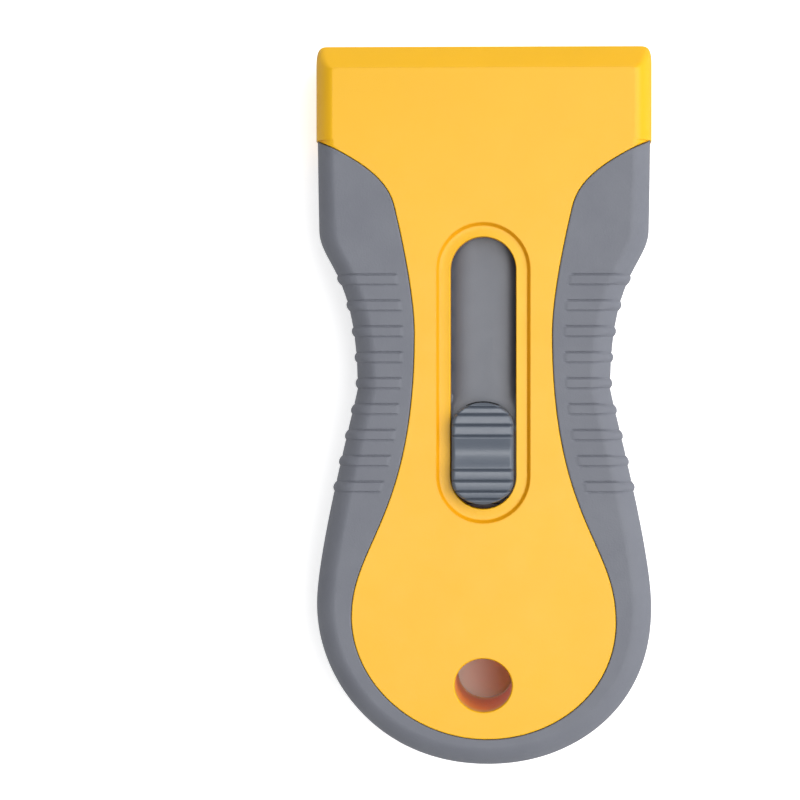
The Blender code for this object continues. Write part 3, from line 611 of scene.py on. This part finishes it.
# ---- materials ----
class Graph:
    """Short calls for one material's nodes."""

    def __init__(self, name):
        self.mat = bpy.data.materials.new(name)
        self.mat.use_nodes = True
        self.nodes, self.links = self.mat.node_tree.nodes, self.mat.node_tree.links
        self.shader = self.nodes["Principled BSDF"]
        self.where = self.nodes.new("ShaderNodeTexCoord").outputs["Object"]

    def set(self, **values):
        """Constant values on the shader's own sockets."""
        for key, value in values.items():
            self.shader.inputs[key.replace("_", " ").title().replace("Ior", "IOR")].default_value = value
        return self

    def noise(self, scale, detail, stretch=(1, 1, 1)):
        mapping = self.nodes.new("ShaderNodeMapping")
        mapping.inputs["Scale"].default_value = stretch
        self.links.new(self.where, mapping.inputs["Vector"])
        node = self.nodes.new("ShaderNodeTexNoise")
        node.inputs["Scale"].default_value = scale
        node.inputs["Detail"].default_value = detail
        node.inputs["Roughness"].default_value = 0.5
        self.links.new(mapping.outputs["Vector"], node.inputs["Vector"])
        return node.outputs["Fac"]

    def ramp(self, value, low, high):
        node = self.nodes.new("ShaderNodeValToRGB")
        for element, position, color in zip(node.color_ramp.elements, (0.3, 0.7), (low, high)):
            element.position, element.color = position, (*color, 1)
        self.links.new(value, node.inputs["Fac"])
        return node.outputs["Color"]

    def map(self, value, low, high):
        node = self.nodes.new("ShaderNodeMapRange")
        node.inputs["To Min"].default_value, node.inputs["To Max"].default_value = low, high
        self.links.new(value, node.inputs["Value"])
        return node.outputs["Result"]

    def within(self, *limits):
        """1 inside a block, 0 outside; each axis has (centre, half size outside, half size inside) in millimetres."""
        parts = self.nodes.new("ShaderNodeSeparateXYZ")
        self.links.new(self.where, parts.inputs["Vector"])
        total = None
        for axis, (middle, outer, inner) in zip(parts.outputs, limits):
            away = self.math("ABSOLUTE", self.math("SUBTRACT", axis, middle * MM))
            node = self.nodes.new("ShaderNodeMapRange")
            node.inputs["From Min"].default_value, node.inputs["From Max"].default_value = outer * MM, inner * MM
            self.links.new(away, node.inputs["Value"])
            total = self.math("MULTIPLY", total, node.outputs["Result"]) if total else node.outputs["Result"]
        return total

    def ring_wall_shade(self):
        """Mask for painted shade: 1 along the outer line of the recess round the slot, where its wall lies in shade,
        0 elsewhere.
        """
        parts = self.nodes.new("ShaderNodeSeparateXYZ")
        self.links.new(self.where, parts.inputs["Vector"])
        x, y, z = parts.outputs
        middle, straight = (SLOT_Y[0] + SLOT_Y[1]) / 2, (SLOT_Y[1] - SLOT_Y[0]) / 2 - SLOT_HALF
        past = self.math("SUBTRACT", self.math("ABSOLUTE", self.math("SUBTRACT", y, middle * MM)), straight * MM)
        past = self.math("MAXIMUM", past, 0.0)
        away = self.math("SQRT", self.math("ADD", self.math("MULTIPLY", x, x), self.math("MULTIPLY", past, past)))
        off = self.math("ABSOLUTE", self.math("SUBTRACT", away, (RING_HALF - RING_SLOPE / 2) * MM))
        node = self.nodes.new("ShaderNodeMapRange")
        node.interpolation_type = "SMOOTHSTEP"
        node.inputs["From Min"].default_value, node.inputs["From Max"].default_value = 0.46 * MM, 0.1 * MM
        self.links.new(off, node.inputs["Value"])
        front = self.math("GREATER_THAN", z, PARTING_Z * MM)
        return self.math("MULTIPLY", node.outputs["Result"], front)

    def math(self, operation, first, second=None):
        node = self.nodes.new("ShaderNodeMath")
        node.operation = operation
        self.links.new(first, node.inputs[0])
        if isinstance(second, float):
            node.inputs[1].default_value = second
        elif second:
            self.links.new(second, node.inputs[1])
        return node.outputs["Value"]

    def blend(self, share, under, over):
        """The colour under, changed to the constant colour over by a share from 0 to 1."""
        node = self.nodes.new("ShaderNodeMix")
        node.data_type = "RGBA"
        color_a, color_b = node.inputs[6:8]  # the sockets share their names with the other data types
        self.links.new(share, node.inputs["Factor"])
        self.links.new(under, color_a)
        color_b.default_value = (*over, 1)
        return node.outputs[2]

    def bump(self, *layers):
        """Bump from (height, distance in millimetres) layers, one on the next."""
        last = None
        for height, depth in layers:
            node = self.nodes.new("ShaderNodeBump")
            node.inputs["Distance"].default_value = depth * MM
            self.links.new(height, node.inputs["Height"])
            if last:
                self.links.new(last, node.inputs["Normal"])
            last = node.outputs["Normal"]
        self.links.new(last, self.shader.inputs["Normal"])

    def link(self, output, name):
        self.links.new(output, self.shader.inputs[name])


def yellow_plastic():
    """Satin ABS: a warm yellow with a very fine grain; painted shade makes it a deeper orange in the slot, the hole
    and along the recess's outer line.
    """
    g = Graph("yellow_plastic")
    open_face = g.ramp(g.noise(70, 4), (0.84, 0.452, 0.007), (0.88, 0.472, 0.009))
    # painted shade: below the face, within about 5 mm of the middle line, in the slot and the hanging hole, the
    # yellow turns a deeper orange with less specular, where shade falls
    deep = g.within((0, 5.2, 4.9), (0, 47, 45), (PARTING_Z, 6.6, 4.2))
    # painted shade: a darker orange along the recess's outer wall
    line = g.math("MULTIPLY", g.ring_wall_shade(), 0.9)
    ring_shaded = g.blend(line, open_face, (0.82, 0.35, 0.003))
    g.link(g.blend(deep, ring_shaded, (0.92, 0.29, 0.0)), "Base Color")
    g.link(g.map(deep, 0.3, 0.05), "Specular IOR Level")
    g.link(g.map(g.noise(240, 5), 0.3, 0.4), "Roughness")
    g.bump((g.noise(5200, 2), 0.012), (g.noise(420, 3), 0.01))
    return g.mat


def soft_rubber():
    """Matt thermoplastic rubber with a fine sandy grain and slight bloom."""
    g = Graph("soft_rubber").set(specular_ior_level=0.32, sheen_weight=0.04, sheen_roughness=0.5)
    g.link(g.ramp(g.noise(160, 5), (0.160, 0.168, 0.198), (0.176, 0.185, 0.215)), "Base Color")
    g.link(g.map(g.noise(900, 4), 0.52, 0.68), "Roughness")
    g.bump((g.noise(3800, 3), 0.03), (g.noise(700, 3), 0.015))
    return g.mat


def moulded_grey(name, low, high, rough):
    """A hard grey moulding, smoother than the grip; painted shade turns it dark red-brown deep in the gap round the
    button's foot.
    """
    g = Graph(name).set(specular_ior_level=0.45)
    # painted shade: a dark red-brown block in the gap round the button's foot, where shade falls
    gap = g.within((0, 5.4, 5.2), (-9.6, 6.4, 5.8), (8.7, 3.6, 3.2))
    g.link(g.blend(gap, g.ramp(g.noise(120, 4), low, high), (0.09, 0.016, 0.010)), "Base Color")
    g.link(g.map(g.noise(500, 4), rough - 0.06, rough + 0.06), "Roughness")
    g.bump((g.noise(4200, 2), 0.01), (g.noise(300, 3), 0.012))
    return g.mat


def brushed(name, color, rough, along, grain=0.004):
    """Metal with fine brushing, stretched by along, and faint stains."""
    g = Graph(name).set(metallic=1.0)
    dark = tuple(c * 0.86 for c in color)
    g.link(g.ramp(g.noise(900, 6, along), dark, color), "Base Color")
    g.link(g.map(g.noise(160, 4), rough * 0.8, rough * 1.25), "Roughness")
    g.bump((g.noise(2600, 4, along), grain))
    return g.mat


def paint(o, mat):
    """Gives a piece its only material."""
    o.data.materials.clear()
    o.data.materials.append(mat)


stations = grip_stations()
yellow, rubber = yellow_plastic(), soft_rubber()
button_grey = moulded_grey("button_grey", (0.100, 0.118, 0.148), (0.114, 0.132, 0.164), 0.33)
carrier_grey = moulded_grey("carrier_grey", (0.104, 0.114, 0.140), (0.117, 0.127, 0.154), 0.38)
steel = brushed("pressed_steel", (0.56, 0.56, 0.57), 0.3, (0.12, 1, 1))
zinc = brushed("zinc_plate", (0.42, 0.425, 0.44), 0.36, (1, 1, 1), 0.002)
blade_steel = brushed("blade_steel", (0.62, 0.62, 0.63), 0.24, (0.06, 1, 1), 0.003)

paint(front_casing(stations), yellow)
paint(back_casing(stations), yellow)
paint(grip_band("front_grip_band", stations, False), rubber)
paint(grip_band("back_grip_band", stations, True), rubber)
paint(thumb_button(), button_grey)
paint(slide_face(), carrier_grey)
for node, mat in (
    ("blade_carrier", carrier_grey),
    ("button_latch", button_grey),
    ("lock_strip", steel),
    ("blade_clamp", steel),
    ("drag_spring", steel),
    ("button_spring", steel),
    ("razor_blade", blade_steel),
    ("blade_spine", blade_steel),
):
    paint(frame["nodes"][node], mat)
for node, o in frame["nodes"].items():
    if "screw" in node or "rivet" in node:
        paint(o, zinc)


# ---- stage, light and camera ----
def floor():
    """A pale floor with a faint glow, away from the hanging hole: painted light that keeps the background white and
    fills in the tool's shadow, left out under the hole so that the floor seen there stays in shade.
    """
    mesh = bpy.data.meshes.new("floor")
    half = 1.5
    corners = [(-half, -half, 0), (half, -half, 0), (half, half, 0), (-half, half, 0)]
    mesh.from_pydata(corners, [], [(0, 1, 2, 3)])
    o = bpy.data.objects.new("floor", mesh)
    bpy.context.scene.collection.objects.link(o)
    g = Graph("pale_floor").set(base_color=(0.9, 0.9, 0.9, 1), roughness=0.9)
    away = g.nodes.new("ShaderNodeVectorMath")
    away.operation = "DISTANCE"
    away.inputs[1].default_value = (0, HOLE_Y * MM, 0)
    g.links.new(g.where, away.inputs[0])
    reach = g.nodes.new("ShaderNodeMapRange")
    for name, distance in zip(("From Min", "From Max"), GLOW_REACH):
        reach.inputs[name].default_value = distance * MM
    reach.inputs["To Max"].default_value = FLOOR_GLOW
    g.links.new(away.outputs["Value"], reach.inputs["Value"])
    g.shader.inputs["Emission Color"].default_value = (1, 1, 1, 1)
    g.link(reach.outputs["Result"], "Emission Strength")
    mesh.materials.append(g.mat)
    o.location.z = -0.3 * MM
    o.visible_glossy = False


def area_light(name, place, size, watts, glossy_only=False):
    """A soft panel aimed at the tool; glossy_only leaves it out of the diffuse light."""
    light = bpy.data.lights.new(name, "AREA")
    light.shape, light.size, light.size_y = "RECTANGLE", *size
    light.energy = watts
    o = bpy.data.objects.new(name, light)
    bpy.context.scene.collection.objects.link(o)
    o.location = place
    o.rotation_euler = (-Vector(place)).to_track_quat("-Z", "Y").to_euler()
    o.visible_camera = False
    o.visible_diffuse = not glossy_only


def world(strength):
    w = bpy.data.worlds.new("studio")
    w.use_nodes = True
    w.node_tree.nodes["Background"].inputs["Color"].default_value = (1, 1, 1, 1)
    w.node_tree.nodes["Background"].inputs["Strength"].default_value = strength
    bpy.context.scene.world = w


def camera():
    """Above the tool and a little to its right, turned so that the tool stands right of the centre."""
    data = bpy.data.cameras.new("camera")
    data.sensor_width = 36.0
    data.lens = LENS
    data.shift_x = SHIFT_X
    data.clip_start = 0.01
    o = bpy.data.objects.new("camera", data)
    bpy.context.scene.collection.objects.link(o)
    away = (Vector(CAMERA) - Vector(AIM)).normalized()
    right = Vector((0, 1, 0)).cross(away).normalized()
    turn = Matrix((right, away.cross(right), away)).transposed()
    o.matrix_world = Matrix.Translation(CAMERA) @ turn.to_4x4()
    bpy.context.scene.camera = o


floor()
world(0.32)
area_light("panel_right", (0.9, 0.15, 1.275), (1.8, 1.8), 34.6)
area_light("panel_top", (-0.06, -0.07, 1.2), (0.45, 0.5), 4.3, glossy_only=True)
bpy.context.scene.view_settings.view_transform = "Standard"
camera()
